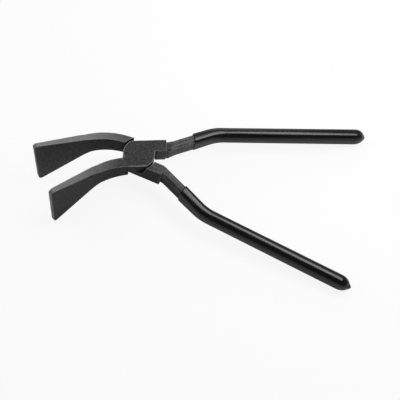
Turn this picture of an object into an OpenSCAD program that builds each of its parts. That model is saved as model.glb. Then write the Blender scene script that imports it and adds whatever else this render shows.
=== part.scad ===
// Seaming pliers with wide blades that curve away to one side.
// Two steel halves cross in a half lap and turn on a flush rivet, and each handle
// is covered by a dipped grip. The halves are drawn in the closed pose, with their
// front edges touching, and each is then turned out by half the opening.
// +X runs to the handles, +Y to the upper handle and +Z up along the rivet.
// The origin is where the rivet's axis meets the lower face of the joint.

/* [Opening] */
// Angle by which the halves are drawn open
opening = 26; // [0.4:0.2:44]

/* [Joint] */
// Thickness of the two crossed plates together
joint_t = 16; // [15:0.5:18]
// Width of each plate across its straight sides
plate_w = 22.2; // [20:0.2:23]
// Radius of the round ends of the plates, about the rivet
plate_r = 12.3; // [12.2:0.1:13]
// Distance from the rivet to the ends of the shoulders
shoulder_l = 22; // [21:0.5:24]
// Space between the two shoulders when the jaws are closed
shoulder_gap = 2.7; // [2:0.1:4]
// Diameter of the rivet's shank
rivet_d = 8; // [6:0.5:9]
// Diameter of the rivet's countersunk heads
rivet_head_d = 11.2; // [10:0.2:14]

/* [Jaws] */
// Width of the blades at their front edges
blade_w = 60; // [50:1:70]
// Thickness of the blades at their front edges
tip_t = 3.6; // [2.5:0.1:4.5]
// Angle between the two faces of a blade
blade_taper = 3.3; // [1:0.1:5]
// Growth of a blade's half width for each millimetre of its length
blade_spread = 0.44; // [0.35:0.01:0.5]
// Radius of the corners at the ends of the front edges
corner_r = 3; // [1:0.1:4]

/* [Handles] */
// Width of the bare steel necks between shoulder and grip
neck_w = 7.1; // [6.4:0.1:7.6]
// Height of the necks along the rivet
neck_h = 14.8; // [14:0.1:15]
// Bare length of the upper neck in front of its grip
bare_l = 22.6; // [18:0.2:28]
// Radius of the bend in each handle, along its middle
bend_r = 36; // [25:1:45]
// Width of the grips behind the bend
grip_w = 10.1; // [9.5:0.1:11]
// Height of the grips along the rivet, behind the bend
grip_h = 14; // [13.4:0.1:15]

/* [Hidden] */
$fn = 96;
steel = [0.24, 0.24, 0.25];
vinyl = [0.07, 0.07, 0.08];
far = 200;

// Clearances between the lapped faces, round the plates and round the rivet
lap_gap = 0.1;
rim_gap = 1.3;
rivet_gap = 0.04;

// The plates lie at a small angle to the middle line of the handles, the upper one a little more
plate_tilt = 2.5;
plate_twist = 0.4;
// Distance from a plate's straight side to the line where its jaw's outer face leaves the round end
corner_inset = 0.25;
// Breaks at the inner and outer end corners of the upper and of the lower handle's shoulder
upper_breaks = [0.4, 0.4];
lower_breaks = [1, 0.8];
// Length by which the lower handle's shoulder is the longer one
shoulder_extra = 0.5;
// Angle by which a shoulder's outer side leans in beyond the lap, where its own plate ends
shoulder_lean = 12;
rivet_head_h = (rivet_head_d - rivet_d) / 2;

// Place in the closed pose where the front edges of the inner faces meet
tip = [-66.72, -40.52];
// Faces of the jaws: root point, root direction, blade direction and bend radius
upper_blade_dir = 48.6;
lower_blade_dir = 40.4;
upper_inner = [[0, 5.4], 11, upper_blade_dir, 47];
upper_outer = [plate_corner(-1), 3.6, upper_blade_dir + blade_taper, 55];
lower_inner = [[0, -0.95], 14.1, lower_blade_dir, 55];
lower_outer = [plate_corner(1), 6.4, lower_blade_dir - blade_taper, 54];

// Ground shape of each blade: spread of the blade, spread of the jaw's neck, angle by which
// the front edge leans forward at the top, and distance by which it stands back
upper_grind = [blade_spread, 0.06, 1.4, 0.3];
lower_grind = [blade_spread - 0.025, 0.11, 1.2, 0];

// The sides of the blades and of the jaws' necks lean in towards the outer face
blade_lean = 0.25;
jaw_neck_lean = 0.12;
jaw_neck_dir = 22;
jaw_neck_extra = 0.8;

// Paths of the handles in the closed pose, each as if it were the upper one: end of the
// shoulder, corner of the bend, end of the grip, bare length of the neck, inward offset of
// the neck and drop of the grip's tip
upper_path = [[22, 6.95], [61.3, 21], [184.8, 22.4], bare_l, 0.35, 1.8];
lower_path = [[22, 3.65], [64.4, 20.4], [188.1, 24.7], bare_l - 0.5, 0, 1.2];
// Bevels along a neck's four edges: part of the width and part of the height
neck_bevel = [2.1, 1.6];
// Length of a neck's root, its growth at the shoulder, and how much slimmer its bars are
neck_root_l = 9;
neck_root_growth = 0.9;
neck_root_slim = 1.9;
// Depth by which a neck runs into its shoulder, and by which a root ends inside its neck
neck_sink = 1;
neck_root_sink = 0.35;

// Steel inside the grips: a short length of the neck and then a slimmer tang
tang_step = 3;
tang_w = neck_w - 1.2;
tang_h = neck_h - 4.4;
tang_end_gap = 9;

// A grip starts slimmer, taller and squarer than it goes on behind the bend, with a broken
// edge that leans from square towards the grip's long straight
grip_slim = 0.9;
grip_rise = 2.4;
grip_skew = 9.6;
grip_square = 2.5;
grip_squarer = 1.7;
grip_edge = 0.5;
// Growth of the section from the bend to the end, as a part of its size
grip_swell = 0.045;
// The nose's length and the fullness of its dome
grip_nose_l = 8.8;
nose_power = 0.58;
grip_sides = 24;

function unit(a) = [cos(a), sin(a)];
function left(a) = [-sin(a), cos(a)];
function cross2(u, v) = u[0] * v[1] - u[1] * v[0];
function angle_of(v) = atan2(v[1], v[0]);

// Point where the line through p at angle a meets the line through q at angle b
function meet(p, a, q, b) = p + unit(a) * cross2(q - p, unit(b)) / cross2(unit(a), unit(b));

// Angle of a plate in the closed pose
function plate_dir(side) = plate_tilt + side * plate_twist;

// Point of a plate's round end, just inside its straight side, where its jaw's outer face leaves it
function plate_corner(side) =
    let (y = -side * (plate_w / 2 - corner_inset), x = -sqrt(pow(plate_r, 2) - y * y))
    x * unit(plate_dir(side)) + y * left(plate_dir(side));

// Turn of a handle's bend, and the lengths of its straights and of its bend
function path_turn(path) = angle_of(path[1] - path[0]) - angle_of(path[2] - path[1]);
function path_setback(path) = bend_r * tan(path_turn(path) / 2);
function first_run(path) = norm(path[1] - path[0]) - path_setback(path);
function second_run(path) = norm(path[2] - path[1]) - path_setback(path);
function bend_length(path) = bend_r * path_turn(path) * PI / 180;
function handle_length(path) = first_run(path) + bend_length(path) + second_run(path);

// Direction of a handle's middle line, and its point, at the distance s from the shoulder
function path_dir(path, s) =
    let (turned = max(0, min(1, (s - first_run(path)) / bend_length(path))))
    angle_of(path[1] - path[0]) - path_turn(path) * turned;
function path_point(path, s) =
    let (
        in_dir = angle_of(path[1] - path[0]),
        bend_start = path[0] + first_run(path) * unit(in_dir),
        past = s - first_run(path),
        straight = min(0, past) + max(0, past - bend_length(path)),
        dir = path_dir(path, s)
    )
    bend_start - bend_r * left(in_dir) + bend_r * left(dir) + straight * unit(dir);

// Turns one half out of the closed pose and lifts it onto the origin's plane
module opened(side) {
    translate([0, 0, joint_t / 2])
        rotate([0, 0, side * opening / 2])
            children();
}

// Everything below a root line, a bend and a blade line that falls away towards -X
module under_face(face, tip_point) {
    root_dir = face[1];
    blade_dir = face[2];
    radius = face[3];
    corner = meet(face[0], root_dir, tip_point, blade_dir);
    setback = radius * tan((blade_dir - root_dir) / 2);
    start = corner + setback * unit(root_dir);
    end = corner - setback * unit(blade_dir);
    blade_far = end - far * unit(blade_dir);
    root_far = start + far * unit(root_dir);
    polygon([
        start,
        end,
        blade_far,
        blade_far - far * left(blade_dir),
        root_far - far * left(root_dir),
        root_far
    ]);
    translate(start - radius * left(root_dir))
        circle(r = radius, $fn = 360);
}

// Jaw seen along the rivet: below its upper face, above its lower face, left of the rivet
module jaw_outline(upper, upper_tip, lower, lower_tip) {
    difference() {
        under_face(upper, upper_tip);
        under_face(lower, lower_tip);
        translate([0, -far])
            square([far, 2 * far]);
    }
}

// Blade seen square to its faces, with its front edge on the Y axis and open sides
module blade_plan(spread) {
    side_angle = atan(spread);
    setback = corner_r / tan((90 - side_angle) / 2);
    y = blade_w / 2 - setback;
    side_x = setback * cos(side_angle);
    side_y = blade_w / 2 - setback * sin(side_angle);
    polygon([
        [0, -y],
        [0, y],
        [side_x, side_y],
        [far, side_y],
        [far, -side_y],
        [side_x, -side_y]
    ]);
    for (s = [-1, 1])
        translate([corner_r, s * y])
            circle(r = corner_r);
}

// Point of a jaw's front edge on its outer face: side is 1 where that face is the upper one
function outer_tip(side, inner, outer) = tip + side * tip_t * left((inner[2] + outer[2]) / 2);

// Space between two side planes, half apart at the point p of the inner face.
// They close by spread along dir and by lean towards the outer face.
module side_planes(p, dir, side, half, spread, lean) {
    slope = norm([spread, lean]);
    apex = half / slope;
    translate(p)
        rotate(dir + side * atan2(lean, spread))
            rotate([90, 0, 0])
                linear_extrude(height = 2 * far, center = true)
                    polygon([
                        [apex, 0],
                        [apex - far, slope * far],
                        [apex - far, -slope * far]
                    ]);
}

// One jaw: side is 1 where its outer face is the upper one
module jaw(side, inner, outer, grind) {
    blade_dir = (inner[2] + outer[2]) / 2;
    face_tip = outer_tip(side, inner, outer);
    neck_point = meet(inner[0], inner[1], [-plate_r, 0], 90);
    intersection() {
        linear_extrude(height = blade_w + 2, center = true)
            if (side > 0)
                jaw_outline(outer, face_tip, inner, tip);
            else
                jaw_outline(inner, tip, outer, face_tip);
        translate(tip + grind[3] * unit(blade_dir))
            rotate(blade_dir)
                rotate([90, 0, 0])
                    linear_extrude(height = 2 * far, center = true)
                        rotate(grind[2])
                            blade_plan(grind[0]);
        union() {
            side_planes(tip, inner[2], side, blade_w / 2, grind[0], blade_lean);
            side_planes(neck_point, jaw_neck_dir, side, joint_t / 2 + jaw_neck_extra, grind[1], jaw_neck_lean);
        }
    }
}

// Shoulder behind the rivet, on the side of the handle
module shoulder_outline(side) {
    inner_y = shoulder_gap / 2;
    outer_y = plate_w / 2;
    length = shoulder_l + (side > 0 ? 0 : shoulder_extra);
    breaks = side > 0 ? upper_breaks : lower_breaks;
    rotate(plate_dir(side))
        mirror([0, side > 0 ? 0 : 1])
            polygon([
                [0, inner_y],
                [length - breaks[0] / 2, inner_y],
                [length, inner_y + breaks[0]],
                [length, outer_y - breaks[1]],
                [length - breaks[1] / 2, outer_y],
                [0, outer_y]
            ]);
}

// Wedge between a shoulder's upright outer side and the side that leans in above the lap
module shoulder_wedge(side) {
    rotate(plate_dir(side))
        mirror([0, side > 0 ? 0 : 1, 0])
            translate([0, plate_w / 2, 0])
                rotate([shoulder_lean, 0, 0])
                    cube([far, far, joint_t]);
}

// Lapped plate: a disc with two straight sides, its shoulder and the root of its jaw
module plate_outline(side, inner, outer) {
    rotate(plate_dir(side))
        intersection() {
            circle(r = plate_r, $fn = 180);
            square([3 * plate_r, plate_w], center = true);
        }
    shoulder_outline(side);
    intersection() {
        circle(r = plate_r + 2 * rim_gap, $fn = 180);
        if (side > 0)
            jaw_outline(inner, tip, outer, outer_tip(-1, inner, outer));
        else
            jaw_outline(outer, outer_tip(1, inner, outer), inner, tip);
    }
}

// Everything below one side of a handle, offset from its middle line
module under_handle(path, offset) {
    in_dir = angle_of(path[1] - path[0]);
    out_dir = angle_of(path[2] - path[1]);
    side_point = path[2] + offset * left(out_dir);
    under_face([side_point, out_dir, in_dir, bend_r + offset], path[0] + offset * left(in_dir));
}

// Tang inside the grip, seen along the rivet
module tang_outline(path) {
    difference() {
        under_handle(path, tang_w / 2);
        under_handle(path, -tang_w / 2);
        translate(path[0])
            rotate(angle_of(path[1] - path[0]))
                translate([path[3] - 2 * far, -far])
                    square(2 * far);
        translate(path[2])
            rotate(angle_of(path[2] - path[1]))
                translate([-tang_end_gap, -far])
                    square(2 * far);
    }
}

// Section of a bar as high as the neck, with its four edges bevelled
module neck_section(width) {
    x = width / 2;
    y = neck_h / 2;
    flat_x = x - neck_bevel[0];
    side_y = y - neck_bevel[1];
    polygon([
        [flat_x, y],
        [-flat_x, y],
        [-x, side_y],
        [-x, -side_y],
        [-flat_x, -y],
        [flat_x, -y],
        [x, -side_y],
        [x, side_y]
    ]);
}

// Bare neck and the tang that runs on inside the grip
module tang(path) {
    translate(path[0])
        rotate(angle_of(path[1] - path[0]))
            translate([-neck_sink, -path[4], 0])
                rotate([90, 0, 90])
                    linear_extrude(height = path[3] + tang_step + neck_sink)
                        neck_section(neck_w);
    linear_extrude(height = tang_h, center = true)
        tang_outline(path);
}

// Slimmer bar that widens the root of a neck on one side: 1 for the outer, -1 for the inner
module neck_root(path, side) {
    length = neck_root_l + neck_sink;
    start_y = side * (neck_root_growth + neck_root_slim / 2);
    translate(path[0])
        rotate(angle_of(path[1] - path[0]))
            translate([-neck_sink, start_y - path[4], 0])
                rotate([0, 0, -side * atan((neck_root_growth + neck_root_sink) / length)])
                    rotate([90, 0, 90])
                        linear_extrude(height = length)
                            neck_section(neck_w - neck_root_slim);
}

// Distance from the shoulder to the end of the bend
function bend_end(path) = first_run(path) + bend_length(path);

// How far a grip has changed, at the distance s, from its start to its section behind the bend
function grip_blend(path, s) = min(1, (s - path[3]) / (bend_end(path) - path[3]));

// How far along the nose the distance s is, from 0 at its start to 1 at its tip
function nose_part(path, s) = max(0, 1 - (handle_length(path) - s) / grip_nose_l);

// Width, height and squareness of a grip at the distance s from the shoulder
function grip_size(path, s) =
    let (
        blend = grip_blend(path, s),
        behind = max(0, s - bend_end(path)) / (handle_length(path) - bend_end(path)),
        nose = pow(1 - pow(nose_part(path, s), 2), nose_power),
        size = nose * (1 + grip_swell * behind),
        edge = max(0, 1 - (s - path[3]) / grip_edge),
        trim = 2 * grip_edge * (1 - sqrt(1 - edge * edge))
    )
    [
        size * (grip_w - grip_slim * (1 - blend)) - trim,
        size * (grip_h + grip_rise * (1 - blend)) - trim,
        grip_square + grip_squarer * (1 - blend)
    ];

function bulge(x, power) = sign(x) * pow(abs(x), power);

// Ring of points round the grip at the distance s from the shoulder
function grip_ring(path, s) =
    let (
        size = grip_size(path, s),
        middle = path_point(path, s),
        dir = path_dir(path, s),
        drop = path[5] * pow(nose_part(path, s), 2),
        across = left(dir) + tan(grip_skew * (1 - grip_blend(path, s))) * unit(dir)
    )
    [
        for (i = [0 : grip_sides - 1])
            let (
                a = 360 * i / grip_sides,
                p = middle + size[0] / 2 * bulge(cos(a), 2 / size[2]) * across
            )
            [p[0], p[1], size[1] / 2 * bulge(sin(a), 2 / size[2]) - drop]
    ];

// Distances of the rings: start edge, first straight, bend, and the nose up to its tip
function grip_stations(path) =
    let (
        full = path[3] + grip_edge,
        run = first_run(path),
        nose_start = handle_length(path) - grip_nose_l
    )
    concat(
        [for (k = [0 : 2]) path[3] + grip_edge * (1 - cos(45 * k))],
        [for (k = [1 : 4]) full + (run - full) * k / 4],
        [for (k = [1 : 8]) run + bend_length(path) * k / 8],
        [for (k = [0 : 8]) nose_start + grip_nose_l * sin(10 * k)]
    );

// Dipped grip round the tang of one handle
module grip(path) {
    stations = grip_stations(path);
    last = len(stations) - 1;
    n = grip_sides;
    rings = [for (s = stations) each grip_ring(path, s)];
    sides = [
        for (k = [0 : last - 1], i = [0 : n - 1])
            let (a = k * n + i, b = k * n + (i + 1) % n)
            each [[a, a + n, b + n], [a, b + n, b]]
    ];
    cap = [for (i = [0 : n - 1]) [last * n + i, (last + 1) * n, last * n + (i + 1) % n]];
    start = [for (i = [0 : n - 1]) i];
    difference() {
        polyhedron(
            points = concat(rings, [[path[2][0], path[2][1], -path[5]]]),
            faces = concat([start], sides, cap)
        );
        tang(path);
    }
}

// One forged half: side is 1 for the half of the upper handle and the lower jaw,
// whose plate lies on top, and -1 for the other half
module forged_half(side, path, inner, outer, grind) {
    difference() {
        union() {
            difference() {
                union() {
                    jaw(-side, inner, outer, grind);
                    difference() {
                        linear_extrude(height = joint_t, center = true)
                            shoulder_outline(side);
                        mirror([0, 0, side > 0 ? 1 : 0])
                            shoulder_wedge(side);
                    }
                }
                cylinder(r = plate_r + rim_gap, h = 2 * joint_t, center = true, $fn = 180);
            }
            mirror([0, 0, side > 0 ? 0 : 1])
                translate([0, 0, lap_gap / 2])
                    linear_extrude(height = (joint_t - lap_gap) / 2)
                        plate_outline(side, inner, outer);
            mirror([0, side > 0 ? 0 : 1, 0]) {
                tang(path);
                neck_root(path, 1);
                if (side > 0)
                    neck_root(path, -1);
            }
        }
        cylinder(d = rivet_d, h = 2 * joint_t, center = true);
        mirror([0, 0, side > 0 ? 0 : 1])
            translate([0, 0, joint_t / 2 - rivet_head_h])
                cylinder(d1 = rivet_d, d2 = rivet_head_d, h = rivet_head_h);
    }
}

module lower_jaw_half() {
    color(steel)
        opened(1)
            forged_half(1, upper_path, lower_inner, lower_outer, lower_grind);
}

module upper_jaw_half() {
    color(steel)
        opened(-1)
            forged_half(-1, lower_path, upper_inner, upper_outer, upper_grind);
}

module upper_grip() {
    color(vinyl)
        opened(1)
            grip(upper_path);
}

module lower_grip() {
    color(vinyl)
        opened(-1)
            mirror([0, 1, 0])
                grip(lower_path);
}

// Rivet with a flush head at each end, seated in the upper plate
module pivot_rivet() {
    shank_r = rivet_d / 2 - rivet_gap;
    head_r = rivet_head_d / 2;
    color(steel)
        rotate_extrude()
            polygon([
                [0, 0],
                [head_r - rivet_gap, 0],
                [shank_r, rivet_head_h],
                [shank_r, joint_t - rivet_head_h - rivet_gap],
                [head_r, joint_t],
                [0, joint_t]
            ]);
}

lower_jaw_half();
upper_jaw_half();
pivot_rivet();
upper_grip();
lower_grip();
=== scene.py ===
"""Looks of the seaming pliers: forged steel halves, dipped grips, a pale studio and the camera."""
import math
from collections import namedtuple

import bmesh
import bpy
from mathutils import Matrix, Vector


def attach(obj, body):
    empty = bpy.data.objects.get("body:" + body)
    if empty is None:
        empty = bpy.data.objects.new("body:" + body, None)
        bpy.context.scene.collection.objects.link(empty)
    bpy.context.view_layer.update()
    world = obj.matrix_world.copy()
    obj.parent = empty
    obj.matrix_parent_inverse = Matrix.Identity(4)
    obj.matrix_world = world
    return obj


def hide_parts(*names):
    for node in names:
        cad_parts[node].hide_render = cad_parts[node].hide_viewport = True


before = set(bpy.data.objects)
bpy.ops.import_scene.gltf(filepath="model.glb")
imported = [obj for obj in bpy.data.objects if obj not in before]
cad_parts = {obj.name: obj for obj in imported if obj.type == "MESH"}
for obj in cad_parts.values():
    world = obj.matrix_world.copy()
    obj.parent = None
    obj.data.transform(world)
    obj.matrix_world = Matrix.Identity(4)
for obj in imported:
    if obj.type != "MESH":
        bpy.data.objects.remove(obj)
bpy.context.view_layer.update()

MM = 0.001

# The pliers as they lie: opening in degrees, and the middle plane's height
OPENING = 26
MID_Z = 8 * MM

# Path of a handle in the closed pose, in millimetres: end of the shoulder, corner of the bend,
# end of the grip, bare length of the neck, drop of the grip's tip and length of its last drip
Path = namedtuple("Path", "start corner end bare drop drip")
UPPER_PATH = Path((22, 6.95), (61.3, 21), (184.8, 22.4), 22.6, 1.8, 0.5)
LOWER_PATH = Path((22, 3.65), (64.4, 20.4), (188.1, 24.7), 22.1, 1.2, 1.1)
BEND_R = 36

# Grip section at the start edge and behind the bend: width, height and squareness
GRIP_START = (9.2, 16.4, 4.2)
GRIP_FULL = (10.1, 14, 2.5)

# Growth of the section to the end as a part of its size, lean of the start edge from square,
# and the radius that breaks this edge
GRIP_SWELL = 0.045
GRIP_SKEW = 9.6
GRIP_EDGE = 0.5

# The nose's length, the fullness of its dome, the part of it where the drip starts, and how far
# the drip rises for its length
GRIP_NOSE_L = 8.8
NOSE_POWER = 0.58
DRIP_START = 0.8
DRIP_RISE = 0.8

# Points round a grip, rings along its straights and its bend, and the angles between the rings
# of the start edge and between those of the nose
GRIP_SIDES = 72
FIRST_RINGS = 16
BEND_RINGS = 20
LONG_RINGS = 50
EDGE_STEP = 15
NOSE_STEP = 5

# Cell size of the forgings' skins, and how strongly and how often they are smoothed
SKIN_CELL = 0.32 * MM
ROUNDING = 0.5
ROUNDING_PASSES = 6

# Clearance in which the rivet turns, from its lower end up to just below its upper head
RIVET_CLEARANCE = 0.2 * MM
RIVET_CLEAR_TO = 15 * MM

# The camera, from the photograph: place, turn about the vertical, height above the horizon,
# roll, lens and sensor
CAMERA_AT = (22.7 * MM, -283.8 * MM, 607.1 * MM)
CAMERA_AZIMUTH = -6.76
CAMERA_ELEVATION = 66.37
CAMERA_ROLL = 18.91
CAMERA_LENS = 76.5
CAMERA_SENSOR = 36
CAMERA_CLIP = (0.01, 100)

# Blackened steel where it is darkest and lightest, ground edges with painted light, worn corners
# with a painted highlight, and the painted shade of the gap
STEEL_DARK = (0.026, 0.026, 0.027)
STEEL_LIGHT = (0.073, 0.073, 0.074)
STEEL_GROUND_AND_LIT = (0.25, 0.25, 0.248)
STEEL_WORN_AND_GLINT = (0.5, 0.5, 0.5)
STEEL_PAINTED_SHADE = (0.004, 0.004, 0.004)
STEEL_METALLIC = 0.15
STEEL_SPECULAR = 0.2

# Dipped vinyl where it is darkest and lightest
VINYL_DARK = (0.004, 0.004, 0.0045)
VINYL_LIGHT = (0.008, 0.008, 0.0085)
VINYL_IOR = 1.42

# Noises of the steel, the vinyl and the floor: scale, detail and roughness
MOTTLE = (140, 5, 0.6)
GRAIN = (640, 4, 0.6)
FINE_GRAIN = (6000, 3, 0.6)
WAVES = (90, 2, 0.4)
STREAKS = (1, 4, 0.6)
WEAR_AND_GLINT = (700, 4, 0.7)
CLOUD = (60, 3, 0.5)
PEEL = (450, 2, 0.5)
RUBBED = (260, 6, 0.7)
FLOOR_SPECKLE = (40, 3, 0.5)

# Values of a noise between which it is used: most noises, the grain, its bumps, the wear with its
# painted highlight and the rubbed patches
MIDDLE = (0.3, 0.7)
GRAIN_RANGE = (0.38, 0.62)
FINE_RANGE = (0.25, 0.75)
WEAR_AND_GLINT_RANGE = (0.35, 0.65)
RUBBED_RANGE = (0.45, 0.75)

# Grinding marks for each metre along and across a blade
MARKS_ALONG = 60
MARKS_ACROSS = 2200

# Shares of the grain and of the mottling in the speckle, and the least strength of the ground edges
# and their painted light where the streaks and the speckle are dark
GRAIN_SHARE = 0.75
MOTTLE_SHARE = 0.25
STREAK_LEAST = 0.75
SPECKLE_LEAST = 0.85

# Bumps: strength and distance
WAVE_BUMP = (0.2, 0.4 * MM)
GRAIN_BUMP = (0.35, 0.06 * MM)
FINE_BUMP = (0.3, 0.02 * MM)
PEEL_BUMP = (0.02, 0.06 * MM)

# Roughness of the steel, with what the mottling adds and the grinding takes off, and of the
# vinyl, with what the peel adds
STEEL_ROUGH = (0.46, 0.58)
MOTTLE_ROUGH = 0.06
GROUND_SMOOTH = 0.1
VINYL_ROUGH = (0.2, 0.225)
PEEL_ROUGH = 0.01

# Directions of a surface: up, towards the jaws, towards the handles and to the front
UP = (0, 0, 1)
TO_JAWS = (-1, 0, 0)
TO_HANDLES = (1, 0, 0)
FRONT = (0.4, -0.9, 0)

# How far a surface faces a direction where a mask starts and is full: in general, on the bevels
# of the necks, on a blade's broad faces, on level surfaces and on the plates' straight sides
FACING = (0.6, 0.8)
BEVEL_FACING = (0.88, 0.96)
BROAD_FACING = (0.4, 0.65)
LEVEL_FACING = (0.1, 0.35)
STRAIGHT_FACING = (0.93, 0.97)

# Length over which a mask fades in along the pliers
FADE = 1 * MM

# Painted light: growth of the steel's brightness on the tops that face up and on the front of the
# upper handle
TOP_PAINTED_LIGHT = 0.75
FRONT_PAINTED_LIGHT = 2.4

# Edge wear, which also paints a highlight along the edges, starts and is full at these values of a
# surface's pointiness, and its strength where the wear's noise is low and high
WORN_AND_GLINT = (0.503, 0.52)
WORN_AND_GLINT_STRENGTH = (0.25, 0.9)

# Distances from the pivot: the rivet's unworn rim, the start and the fade of the painted shade in
# the gap round the plates, and where the wear and painted highlight of the plates' rims fall off,
# with what is left beyond
RIVET_RIM_R = 6.6 * MM
GAP_R = 10.6 * MM
GAP_END_R = (13.7 * MM, 15 * MM)
WORN_AND_GLINT_END_R = (12.8 * MM, 14.5 * MM)
WORN_AND_GLINT_BEYOND = 0.4

# Distance from the middle plane within which the gap's floor gets painted shade
GAP_FLOOR = (0.6 * MM, 1.2 * MM)

# Surface and painted light of each half as it lies: directions of its blade and of its plate,
# distances to the left of the pivot where its ground edges and their painted light start and are
# full, distances to the right of it from which its top and the front of its handle get painted
# light, the way in which its neck's front bevel faces, and how much painted light this bevel and
# the front of its jaw get, painted shade below 0
FinishAndLight = namedtuple(
    "FinishAndLight", "blade_dir plate_dir ground top_from front_from bevel bevel_gain jaw_gain"
)
UPPER_JAW_FINISH_AND_LIGHT = FinishAndLight(
    blade_dir=35.6,
    plate_dir=-10.9,
    ground=(2 * MM, 36 * MM),
    top_from=12 * MM,
    front_from=90 * MM,
    bevel=(-0.34, -0.5, 0.8),
    bevel_gain=-0.7,
    jaw_gain=0.8,
)
LOWER_JAW_FINISH_AND_LIGHT = FinishAndLight(
    blade_dir=51.8,
    plate_dir=15.9,
    ground=(13 * MM, 38 * MM),
    top_from=23 * MM,
    front_from=13 * MM,
    bevel=(0.33, -0.51, 0.8),
    bevel_gain=1.6,
    jaw_gain=0,
)
BEVEL_FROM = 23 * MM

# The floor's glow and colour as the camera sees them, and its glow and colour as the
# reflections and the light do, with the spread of this colour
FLOOR_GLOW = 0.885
FLOOR_SHADE = 0.13
MIRROR_GLOW = 0.05
FLOOR_PALE = 0.8
FLOOR_SPREAD = 0.01
FLOOR_ROUGH = 0.9
FLOOR_R = 60
FLOOR_SIDES = 64

# Points under the pliers that the floor touches: lower blade corner and both grips
FLOOR_POINTS = ((-53.15, -52.6, -20.42), (167.95, 61.7, 0.78), (170.7, -64.5, 0.8))

# The room's brightness falls from 0.6 at the horizon to 0.1 at the height 0.12 of a direction
# one long, and it grows by 0.3 from the middle to the rear
HORIZON_BAND = (0, 0.12, 0.6, 0.1)
REAR_WALL = (0, 1, 0, 0.3)

# Lamps: name, place, point that it is aimed at, size and brightness
LAMPS = (
    ("overhead_strip", (0.23, 0.135, 0.5), (0.15, 0.03, 0), (0.34, 0.19), 7.2),
    ("rear_softbox", (-0.12, 0.7, 0.35), (-0.04, 0, 0), (0.5, 0.4), 1.6),
    ("left_softbox", (-0.7, 0.1, 0.5), (0, 0, 0), (0.6, 0.6), 1.6),
)

# Inputs of a map range node, and the sockets of a mix node that hold colours
RANGE_INPUTS = ("From Min", "From Max", "To Min", "To Max")
MIX_INPUTS = (6, 7)
MIX_OUTPUT = 2


def unit(angle):
    return Vector((math.cos(math.radians(angle)), math.sin(math.radians(angle))))


def left(angle):
    return Vector((-math.sin(math.radians(angle)), math.cos(math.radians(angle))))


class Handle:
    """Middle line of a handle: a straight, a bend and a long straight, from the shoulder on."""

    def __init__(self, path):
        corner = Vector(path.corner)
        self.start, self.end = Vector(path.start), Vector(path.end)
        self.bare, self.drop, self.drip = path.bare, path.drop, path.drip
        to_corner, to_end = corner - self.start, self.end - corner
        self.in_dir = math.degrees(math.atan2(to_corner.y, to_corner.x))
        self.turn = self.in_dir - math.degrees(math.atan2(to_end.y, to_end.x))
        setback = BEND_R * math.tan(math.radians(self.turn / 2))
        self.first = to_corner.length - setback
        self.bend = BEND_R * math.radians(self.turn)
        self.bend_end = self.first + self.bend
        self.length = self.bend_end + to_end.length - setback

    def at(self, s):
        """Point and direction at the distance s."""
        past = s - self.first
        turned = min(1, max(0, past / self.bend))
        direction = self.in_dir - self.turn * turned
        straight = min(0, past) + max(0, past - self.bend)
        bend_start = self.start + self.first * unit(self.in_dir)
        point = bend_start - BEND_R * left(self.in_dir) + BEND_R * left(direction)
        return point + straight * unit(direction), direction


def bulge(x, power):
    return math.copysign(abs(x) ** power, x)


def grip_ring(handle, s):
    """Ring of points round a grip at the distance s, in the closed pose."""
    blend = min(1, (s - handle.bare) / (handle.bend_end - handle.bare))
    width, height, square = (a + (b - a) * blend for a, b in zip(GRIP_START, GRIP_FULL))
    behind = max(0, s - handle.bend_end) / (handle.length - handle.bend_end)
    nose = max(0, 1 - (handle.length - s) / GRIP_NOSE_L)
    size = (1 - nose ** 2) ** NOSE_POWER * (1 + GRIP_SWELL * behind)
    edge = max(0, 1 - (s - handle.bare) / GRIP_EDGE)
    trim = 2 * GRIP_EDGE * (1 - math.sqrt(1 - edge * edge))
    middle, direction = handle.at(s)
    drip = handle.drip * max(0, (nose - DRIP_START) / (1 - DRIP_START)) ** 2
    middle += drip * unit(direction)
    fall = handle.drop * nose ** 2 - DRIP_RISE * drip
    across = left(direction) + math.tan(math.radians(GRIP_SKEW * (1 - blend))) * unit(direction)
    ring = []
    for i in range(GRIP_SIDES):
        a = 2 * math.pi * i / GRIP_SIDES
        x = (size * width - trim) / 2 * bulge(math.cos(a), 2 / square)
        z = (size * height - trim) / 2 * bulge(math.sin(a), 2 / square) - fall
        ring.append((middle.x + x * across.x, middle.y + x * across.y, z))
    return ring


def spread(start, end, count):
    """Evenly spaced distances after a start, up to and with an end."""
    return [start + (end - start) * k / count for k in range(1, count + 1)]


def grip_stations(handle):
    """Distances of the rings: start edge, first straight, bend, long straight and nose."""
    full = handle.bare + GRIP_EDGE
    nose_start = handle.length - GRIP_NOSE_L
    edge_angles = [math.radians(a) for a in range(0, 90, EDGE_STEP)]
    nose_angles = [math.radians(a) for a in range(NOSE_STEP, 90, NOSE_STEP)]
    edge = [handle.bare + GRIP_EDGE * (1 - math.cos(a)) for a in edge_angles]
    first = [full] + spread(full, handle.first, FIRST_RINGS)
    bend = spread(handle.first, handle.bend_end, BEND_RINGS)
    long = spread(handle.bend_end, nose_start, LONG_RINGS)
    nose = [nose_start + GRIP_NOSE_L * math.sin(a) for a in nose_angles]
    return edge + first + bend + long + nose


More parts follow.
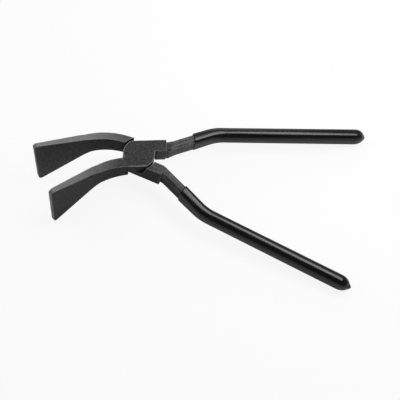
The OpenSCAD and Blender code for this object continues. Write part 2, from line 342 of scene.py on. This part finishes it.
def grip_mesh(name, path, side):
    """Dipped grip as a closed tube of rings with a pointed dome; side is 1 for the upper handle."""
    handle = Handle(path)
    bm = bmesh.new()
    turn = Matrix.Rotation(math.radians(side * OPENING / 2), 4, "Z")
    place = Matrix.Translation((0, 0, MID_Z)) @ turn @ Matrix.Diagonal((MM, side * MM, MM, 1))
    rings = []
    for s in grip_stations(handle):
        rings.append([bm.verts.new(place @ Vector(p)) for p in grip_ring(handle, s)])
    end = handle.end + handle.drip * unit(handle.at(handle.length)[1])
    tip = bm.verts.new(place @ Vector((end.x, end.y, DRIP_RISE * handle.drip - handle.drop)))
    bm.faces.new(reversed(rings[0]))
    for a, b in zip(rings, rings[1:]):
        for i in range(GRIP_SIDES):
            j = (i + 1) % GRIP_SIDES
            bm.faces.new((a[i], a[j], b[j], b[i]))
    for i in range(GRIP_SIDES):
        bm.faces.new((rings[-1][i], rings[-1][(i + 1) % GRIP_SIDES], tip))
    bmesh.ops.recalc_face_normals(bm, faces=bm.faces)
    for face in bm.faces:
        face.smooth = True
    mesh = bpy.data.meshes.new(name)
    bm.to_mesh(mesh)
    bm.free()
    obj = bpy.data.objects.new(name, mesh)
    bpy.context.collection.objects.link(obj)
    return obj


def forging(name, node, clearance):
    """Copy of a steel node whose edges are rounded over as a forging's are.

    It is slimmer by the clearance about the rivet's axis, apart from the rivet's upper head.
    """
    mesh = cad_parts[node].data.copy()
    mesh.materials.clear()
    for vertex in mesh.vertices:
        radius = vertex.co.xy.length
        if clearance and radius > clearance and vertex.co.z < RIVET_CLEAR_TO:
            vertex.co.xy *= 1 - clearance / radius
    obj = bpy.data.objects.new(name, mesh)
    bpy.context.collection.objects.link(obj)
    skin = obj.modifiers.new("skin", "REMESH")
    skin.mode = "VOXEL"
    skin.voxel_size = SKIN_CELL
    skin.use_smooth_shade = True
    rounding = obj.modifiers.new("rounding", "SMOOTH")
    rounding.factor = ROUNDING
    rounding.iterations = ROUNDING_PASSES
    return obj


class Shader:
    """Short calls for building a material's nodes."""

    def __init__(self, name):
        self.material = bpy.data.materials.new(name)
        self.material.use_nodes = True
        self.tree = self.material.node_tree
        self.surface = self.tree.nodes["Principled BSDF"]
        coord = self.node("ShaderNodeTexCoord")
        self.point, self.normal = coord.outputs["Object"], coord.outputs["Normal"]

    def node(self, kind, **settings):
        node = self.tree.nodes.new(kind)
        for key, value in settings.items():
            setattr(node, key, value)
        return node

    def link(self, a, b):
        self.tree.links.new(a, b)

    def noise(self, settings, point=None):
        node = self.node("ShaderNodeTexNoise")
        for key, value in zip(("Scale", "Detail", "Roughness"), settings):
            node.inputs[key].default_value = value
        self.link(point or self.point, node.inputs["Vector"])
        return node.outputs["Fac"]

    def ramp(self, value, low, high, out_low=0.0, out_high=1.0):
        node = self.node("ShaderNodeMapRange", clamp=True)
        for key, number in zip(RANGE_INPUTS, (low, high, out_low, out_high)):
            node.inputs[key].default_value = number
        self.link(value, node.inputs["Value"])
        return node.outputs["Result"]

    def math(self, operation, a, b=0):
        node = self.node("ShaderNodeMath", operation=operation)
        for socket, value in zip(node.inputs, (a, b)):
            if isinstance(value, (int, float)):
                socket.default_value = value
            else:
                self.link(value, socket)
        return node.outputs["Value"]

    def plus(self, a, b):
        return self.math("ADD", a, b)

    def minus(self, a, b):
        return self.math("SUBTRACT", a, b)

    def times(self, a, b):
        return self.math("MULTIPLY", a, b)

    def either(self, a, b):
        return self.math("MAXIMUM", a, b)

    def absolute(self, a):
        return self.math("ABSOLUTE", a)

    def along(self, vector, direction):
        """How far a vector reaches in a direction."""
        node = self.node("ShaderNodeVectorMath", operation="DOT_PRODUCT")
        node.inputs[1].default_value = direction
        self.link(vector, node.inputs[0])
        return node.outputs["Value"]

    def brighter(self, colour, gain):
        node = self.node("ShaderNodeVectorMath", operation="SCALE")
        self.link(gain, node.inputs["Scale"])
        self.link(colour, node.inputs[0])
        return node.outputs["Vector"]

    def mix(self, factor, a, b):
        node = self.node("ShaderNodeMix", data_type="RGBA")
        self.link(factor, node.inputs["Factor"])
        for index, value in zip(MIX_INPUTS, (a, b)):
            if isinstance(value, tuple):
                node.inputs[index].default_value = (*value, 1)
            else:
                self.link(value, node.inputs[index])
        return node.outputs[MIX_OUTPUT]

    def bump(self, height, strength, distance, normal=None):
        node = self.node("ShaderNodeBump")
        node.inputs["Strength"].default_value = strength
        node.inputs["Distance"].default_value = distance
        self.link(height, node.inputs["Height"])
        if normal:
            self.link(normal, node.inputs["Normal"])
        return node.outputs["Normal"]

    def set(self, **values):
        for key, value in values.items():
            socket = self.surface.inputs[key.replace("_", " ")]
            if isinstance(value, (int, float, tuple)):
                socket.default_value = value
            else:
                self.link(value, socket)


def steel_material(name, finish_and_light):
    """Blackened steel: blasted grain, soft mottling, wear on the corners with a painted highlight,
    blade edges made pale by grinding and by painted light, painted light and shade by the way faces
    look, and painted shade in the gap.
    """
    m = Shader(name)
    mottle = m.ramp(m.noise(MOTTLE), *MIDDLE)
    grain = m.noise(GRAIN)
    fine = m.noise(FINE_GRAIN)
    streaks = m.ramp(m.noise(STREAKS, grinding_marks(m, finish_and_light.blade_dir)), *MIDDLE)
    speckle = m.plus(
        m.ramp(grain, *GRAIN_RANGE, 0, GRAIN_SHARE), m.ramp(mottle, 0, 1, 0, MOTTLE_SHARE)
    )
    # Painted light and shade: tops, handle fronts, bevels and jaw fronts made brighter or darker by
    # the way they face
    base = m.brighter(m.mix(speckle, STEEL_DARK, STEEL_LIGHT), painted_light_gain(m, finish_and_light))
    uneven = m.times(
        m.ramp(streaks, 0, 1, STREAK_LEAST, 1), m.ramp(speckle, 0, 1, SPECKLE_LEAST, 1)
    )
    # Pale ground edges, with painted light in their fade towards the joint
    ground = m.times(ground_and_light_mask(m, finish_and_light), uneven)
    base = m.mix(ground, base, STEEL_GROUND_AND_LIT)
    # Pale worn edges, with a painted highlight on the plates' rims
    base = m.mix(wear_and_glint_mask(m), base, STEEL_WORN_AND_GLINT)
    # Painted shade: the gap round the plates is made near black
    base = m.mix(gap_shade_mask(m, finish_and_light.plate_dir), base, STEEL_PAINTED_SHADE)
    rough = m.plus(m.ramp(fine, *FINE_RANGE, *STEEL_ROUGH), m.ramp(mottle, 0, 1, 0, MOTTLE_ROUGH))
    rough = m.minus(rough, m.times(ground, GROUND_SMOOTH))
    normal = m.bump(m.noise(WAVES), *WAVE_BUMP)
    normal = m.bump(grain, *GRAIN_BUMP, normal)
    normal = m.bump(fine, *FINE_BUMP, normal)
    m.set(Base_Color=base, Roughness=rough, Normal=normal)
    m.set(Metallic=STEEL_METALLIC, Specular_IOR_Level=STEEL_SPECULAR)
    return m.material


def painted_light_gain(m, finish_and_light):
    """Painted light and shade on the steel: 1, and more or less on the surfaces that these settings
    name.
    """
    bevel = side_mask(m, finish_and_light.bevel, BEVEL_FROM, BEVEL_FACING)
    front = m.ramp(m.along(m.normal, (*-left(finish_and_light.blade_dir), 0)), *FACING)
    jaw_front = m.times(front, m.ramp(m.along(m.point, TO_JAWS), 0, FADE))
    gain = m.plus(m.times(side_mask(m, UP, finish_and_light.top_from), TOP_PAINTED_LIGHT), 1)
    gain = m.plus(m.times(side_mask(m, FRONT, finish_and_light.front_from), FRONT_PAINTED_LIGHT), gain)
    gain = m.plus(m.times(bevel, finish_and_light.bevel_gain), gain)
    return m.plus(m.times(jaw_front, finish_and_light.jaw_gain), gain)


def grinding_marks(m, blade_dir):
    """Coordinates in which a noise becomes grinding marks along a blade."""
    marks = m.node("ShaderNodeCombineXYZ")
    along, across = MARKS_ALONG * unit(blade_dir), MARKS_ACROSS * left(blade_dir)
    for socket, direction in zip(marks.inputs, ((*along, 0), (*across, 0), (0, 0, MARKS_ALONG))):
        m.link(m.along(m.point, direction), socket)
    return marks.outputs["Vector"]


def ground_and_light_mask(m, finish_and_light):
    """Ground steel with painted light: 1 on a blade's narrow faces and its end, fading to the
    joint, and 0 on its broad faces.
    """
    broad = m.absolute(m.along(m.normal, (*left(finish_and_light.blade_dir), 0)))
    narrow = m.ramp(broad, *BROAD_FACING, 1, 0)
    return m.times(narrow, m.ramp(m.along(m.point, TO_JAWS), *finish_and_light.ground))


def side_mask(m, direction, start, facing=FACING):
    """1 on the faces that look in a direction, to the right of a distance from the pivot."""
    faced = m.ramp(m.along(m.normal, direction), *facing)
    return m.times(faced, m.ramp(m.along(m.point, TO_HANDLES), start, start + FADE))


def from_pivot(m):
    """Distance from the rivet's axis."""
    flat = m.node("ShaderNodeVectorMath", operation="MULTIPLY")
    flat.inputs[1].default_value = (1, 1, 0)
    m.link(m.point, flat.inputs[0])
    length = m.node("ShaderNodeVectorMath", operation="LENGTH")
    m.link(flat.outputs["Vector"], length.inputs[0])
    return length.outputs["Value"]


def wear_and_glint_mask(m):
    """Wear with a painted highlight: broken patches along convex edges, fewer away from the plates
    and none at the rivet's rim.
    """
    wear_and_glint = m.ramp(m.node("ShaderNodeNewGeometry").outputs["Pointiness"], *WORN_AND_GLINT)
    wear_and_glint = m.times(wear_and_glint, m.ramp(m.noise(WEAR_AND_GLINT), *WEAR_AND_GLINT_RANGE, *WORN_AND_GLINT_STRENGTH))
    radius = from_pivot(m)
    wear_and_glint = m.times(wear_and_glint, m.ramp(radius, *WORN_AND_GLINT_END_R, 1, WORN_AND_GLINT_BEYOND))
    return m.times(wear_and_glint, m.math("GREATER_THAN", radius, RIVET_RIM_R))


def gap_shade_mask(m, plate_dir):
    """Painted shade: 1 on the round walls and the floor of the gap round the plates, fading where
    it opens.
    """
    radius = from_pivot(m)
    near = m.times(m.math("GREATER_THAN", radius, GAP_R), m.ramp(radius, *GAP_END_R, 1, 0))
    level = m.absolute(m.along(m.normal, UP))
    straight = m.absolute(m.along(m.normal, (*left(plate_dir), 0)))
    walls = m.times(m.ramp(level, *LEVEL_FACING, 1, 0), m.ramp(straight, *STRAIGHT_FACING, 1, 0))
    depth = m.absolute(m.minus(m.along(m.point, UP), MID_Z))
    floors = m.times(m.ramp(level, *LEVEL_FACING), m.ramp(depth, *GAP_FLOOR, 1, 0))
    return m.times(near, m.either(walls, floors))


def vinyl_material(name):
    """Dipped vinyl: glossy black with a faint orange peel and fine rubbed patches."""
    m = Shader(name)
    peel = m.noise(PEEL)
    rubbed = m.ramp(m.noise(RUBBED), *RUBBED_RANGE)
    base = m.mix(m.ramp(m.noise(CLOUD), *MIDDLE), VINYL_DARK, VINYL_LIGHT)
    rough = m.plus(m.ramp(rubbed, 0, 1, *VINYL_ROUGH), m.ramp(peel, *MIDDLE, 0, PEEL_ROUGH))
    m.set(Base_Color=base, Roughness=rough, Normal=m.bump(peel, *PEEL_BUMP), IOR=VINYL_IOR)
    return m.material


def floor_material():
    """Pale floor that the camera sees as white, with the shadow kept, and reflections as pale."""
    m = Shader("pale_floor")
    light = m.node("ShaderNodeLightPath")
    seen = light.outputs["Is Camera Ray"]
    mirrored = m.either(light.outputs["Is Glossy Ray"], light.outputs["Is Transmission Ray"])
    low, high = (1 - FLOOR_SPREAD) * FLOOR_PALE, (1 + FLOOR_SPREAD) * FLOOR_PALE
    speckle = m.ramp(m.noise(FLOOR_SPECKLE), *MIDDLE, low, high)
    pale = m.node("ShaderNodeCombineColor")
    for socket in pale.inputs:
        m.link(speckle, socket)
    colour = m.mix(seen, pale.outputs["Color"], (FLOOR_SHADE,) * 3)
    m.set(Base_Color=colour, Roughness=FLOOR_ROUGH, Specular_IOR_Level=0)
    glow = m.plus(m.times(seen, FLOOR_GLOW), m.times(mirrored, MIRROR_GLOW))
    m.set(Emission_Color=(1, 1, 1, 1), Emission_Strength=glow)
    return m.material


def make_floor():
    """Large floor that touches the points on which the pliers lie."""
    a, b, c = (Vector(p) * MM for p in FLOOR_POINTS)
    normal = (b - a).cross(c - a).normalized()
    if normal.z < 0:
        normal.negate()
    bm = bmesh.new()
    bmesh.ops.create_circle(bm, cap_ends=True, segments=FLOOR_SIDES, radius=FLOOR_R)
    mesh = bpy.data.meshes.new("floor")
    bm.to_mesh(mesh)
    bm.free()
    floor = bpy.data.objects.new("floor", mesh)
    tilt = normal.to_track_quat("Z", "Y")
    floor.matrix_world = Matrix.Translation(a) @ tilt.to_matrix().to_4x4()
    floor.data.materials.append(floor_material())
    bpy.context.collection.objects.link(floor)


def make_world():
    """Studio room: pale at the horizon, dim above and paler behind the pliers than before them."""
    world = bpy.data.worlds.new("studio")
    world.use_nodes = True
    tree = world.node_tree
    coord = tree.nodes.new("ShaderNodeTexCoord")
    split = tree.nodes.new("ShaderNodeSeparateXYZ")
    tree.links.new(coord.outputs["Generated"], split.inputs[0])
    total = tree.nodes.new("ShaderNodeMath")
    total.operation = "ADD"
    for axis, values, socket in zip("ZY", (HORIZON_BAND, REAR_WALL), total.inputs):
        share = tree.nodes.new("ShaderNodeMapRange")
        for key, number in zip(RANGE_INPUTS, values):
            share.inputs[key].default_value = number
        tree.links.new(split.outputs[axis], share.inputs["Value"])
        tree.links.new(share.outputs["Result"], socket)
    background = tree.nodes["Background"]
    tree.links.new(total.outputs["Value"], background.inputs["Color"])
    background.inputs["Strength"].default_value = 1
    bpy.context.scene.world = world


def area_lamp(name, at, target, size, brightness):
    """Soft rectangular lamp at a point, aimed at another; in metres, and brightness 1 is white."""
    lamp = bpy.data.lights.new(name, "AREA")
    lamp.shape = "RECTANGLE"
    lamp.size, lamp.size_y = size
    lamp.energy = brightness * math.pi * size[0] * size[1]
    obj = bpy.data.objects.new(name, lamp)
    aim = (Vector(target) - Vector(at)).to_track_quat("-Z", "Y")
    obj.matrix_world = Matrix.Translation(at) @ aim.to_matrix().to_4x4()
    bpy.context.collection.objects.link(obj)


def make_camera():
    camera = bpy.data.cameras.new("camera")
    camera.lens = CAMERA_LENS
    camera.sensor_width = CAMERA_SENSOR
    camera.clip_start, camera.clip_end = CAMERA_CLIP
    obj = bpy.data.objects.new("camera", camera)
    turn = Matrix.Rotation(math.radians(CAMERA_AZIMUTH), 4, "Z")
    tilt = Matrix.Rotation(math.radians(90 - CAMERA_ELEVATION), 4, "X")
    roll = Matrix.Rotation(math.radians(CAMERA_ROLL), 4, "Z")
    obj.matrix_world = Matrix.Translation(CAMERA_AT) @ turn @ tilt @ roll
    bpy.context.collection.objects.link(obj)
    bpy.context.scene.camera = obj


upper_steel = steel_material("upper_jaw_steel", UPPER_JAW_FINISH_AND_LIGHT)
lower_steel = steel_material("lower_jaw_steel", LOWER_JAW_FINISH_AND_LIGHT)
vinyl = vinyl_material("dipped_vinyl")

for name, node, body, steel, slot, clearance in (
    ("lower_jaw_forging", "lower_jaw_half", "lower_jaw_lever", lower_steel, "dark_steel", 0),
    ("upper_jaw_forging", "upper_jaw_half", "upper_jaw_lever", upper_steel, "dark_steel", 0),
    ("flush_rivet", "pivot_rivet", "lower_jaw_lever", lower_steel, "rivet_steel", RIVET_CLEARANCE),
):
    piece = forging(name, node, clearance)
    piece.data.materials.append(steel)
    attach(piece, body)
    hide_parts(node)

for name, node, body, path, side in (
    ("upper_grip_skin", "upper_grip", "lower_jaw_lever", UPPER_PATH, 1),
    ("lower_grip_skin", "lower_grip", "upper_jaw_lever", LOWER_PATH, -1),
):
    piece = grip_mesh(name, path, side)
    piece.data.materials.append(vinyl)
    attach(piece, body)
    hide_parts(node)

make_floor()
make_world()
for lamp in LAMPS:
    area_lamp(*lamp)
make_camera()

bpy.context.scene.view_settings.view_transform = "Standard"
